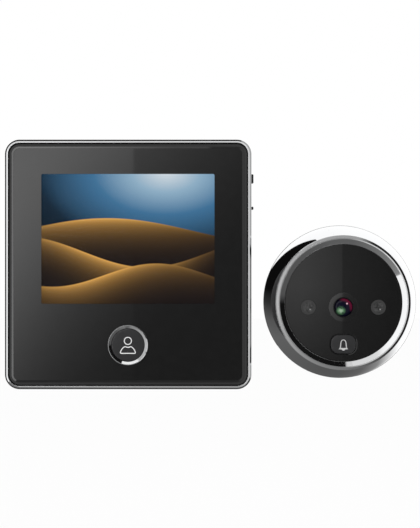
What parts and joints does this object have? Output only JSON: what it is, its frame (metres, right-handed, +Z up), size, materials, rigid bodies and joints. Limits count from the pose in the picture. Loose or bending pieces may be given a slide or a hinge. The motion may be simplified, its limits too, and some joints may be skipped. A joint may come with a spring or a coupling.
{
  "type": "peephole door camera",
  "caption": "Indoor screen unit with a view button on a door bracket, and a round outdoor camera with a bell button and a barrel that goes through the door.",
  "frame": {"origin": "middle of the bracket's two clamp screw holes, on the face of the door", "axes": "+X to the right seen from the front, +Y into the door, +Z up"},
  "size_m": [0.148, 0.0405, 0.0882],
  "materials": {
    "chrome": "polished chrome plating",
    "gloss_black": "piano-black gloss",
    "clear_window": "clear polished acrylic",
    "screen_face": "lit colour screen behind the window",
    "tin_plate": "tinned sheet",
    "ribbon_film": "amber film",
    "matte_black": "fine spark-eroded texture",
    "zinc_steel": "zinc-plated",
    "circuit_board": "green solder mask",
    "chip_black": "moulded package",
    "socket_white": "natural nylon",
    "cell_sleeve": "printed sleeve with no marks",
    "speaker_metal": "pressed steel",
    "switch_body": "moulded switch housing",
    "button_grey": "satin dark grey",
    "icon_pale": "pale printed mark",
    "foam_black": "closed-cell foam",
    "surround_pale": "silver-grey satin",
    "lens_glass": "coated lens",
    "sensor_glass": "sensor cover",
    "infrared_window": "smoked window",
    "lamp_clear": "clear epoxy",
    "brass": "turned brass"
  },
  "bodies": {
    "door_bracket": {"wall_bracket": "zinc_steel", "bracket_foam_pad": "foam_black"},
    "monitor": {"chrome_frame": "chrome", "front_panel": "gloss_black", "screen_window": "clear_window", "lcd_glass": "screen_face", "lcd_backlight": "tin_plate", "lcd_ribbon": "ribbon_film", "front_case": "matte_black", "rear_case": "matte_black", "case_screws": "zinc_steel", "main_board": "circuit_board", "board_chips": "chip_black", "board_screws": "zinc_steel", "camera_socket": "socket_white", "batteries": "cell_sleeve", "battery_contacts_positive": "tin_plate", "battery_contacts_negative": "tin_plate", "speaker": "speaker_metal", "button_board": "circuit_board", "view_switch": "switch_body", "power_switch_body": "switch_body", "reset_switch_body": "switch_body", "view_button_ring": "chrome"},
    "outdoor_unit": {"outer_shell": "chrome", "front_bezel": "chrome", "face_window": "gloss_black", "lens_surround": "surround_pale", "lens_barrel": "matte_black", "front_lens": "lens_glass", "lens_element": "lens_glass", "lens_holder": "matte_black", "image_sensor": "sensor_glass", "infrared_windows": "infrared_window", "infrared_leds": "lamp_clear", "camera_board": "circuit_board", "camera_board_chips": "chip_black", "cable_socket": "socket_white", "bell_switch": "switch_body", "inner_housing": "matte_black", "rear_cover": "matte_black", "threaded_inserts": "brass", "cover_screws": "zinc_steel", "door_gasket": "foam_black"},
    "battery_door": {"battery_door": "matte_black"},
    "view_button": {"view_button": "button_grey", "view_button_icon": "icon_pale"},
    "power_slider": {"power_slider": "matte_black"},
    "reset_button": {"reset_button": "matte_black"},
    "bell_button": {"bell_button": "button_grey", "bell_button_icon": "icon_pale"}
  },
  "joints": [
    {"name": "monitor_lift", "type": "slide", "parent": "door_bracket", "child": "monitor", "axis": [0, 0, 1], "range_m": [0, 0.0032]},
    {"name": "battery_door_slide", "type": "slide", "parent": "monitor", "child": "battery_door", "axis": [0, 0, -1], "range_m": [0, 0.004]},
    {"name": "view_button_press", "type": "slide", "parent": "monitor", "child": "view_button", "axis": [0, 1, 0], "range_m": [0, 0.0005], "stiffness_N_per_m": 3000},
    {"name": "power_slider_slide", "type": "slide", "parent": "monitor", "child": "power_slider", "axis": [0, 0, -1], "range_m": [0, 0.002]},
    {"name": "reset_button_press", "type": "slide", "parent": "monitor", "child": "reset_button", "axis": [-1, 0, 0], "range_m": [0, 0.00035], "stiffness_N_per_m": 3500},
    {"name": "outdoor_unit_withdraw", "type": "slide", "parent": "door_bracket", "child": "outdoor_unit", "axis": [0, -1, 0], "range_m": [0, 0.02]},
    {"name": "bell_button_press", "type": "slide", "parent": "outdoor_unit", "child": "bell_button", "axis": [0, 1, 0], "range_m": [0, 0.0005], "stiffness_N_per_m": 3000}
  ]
}
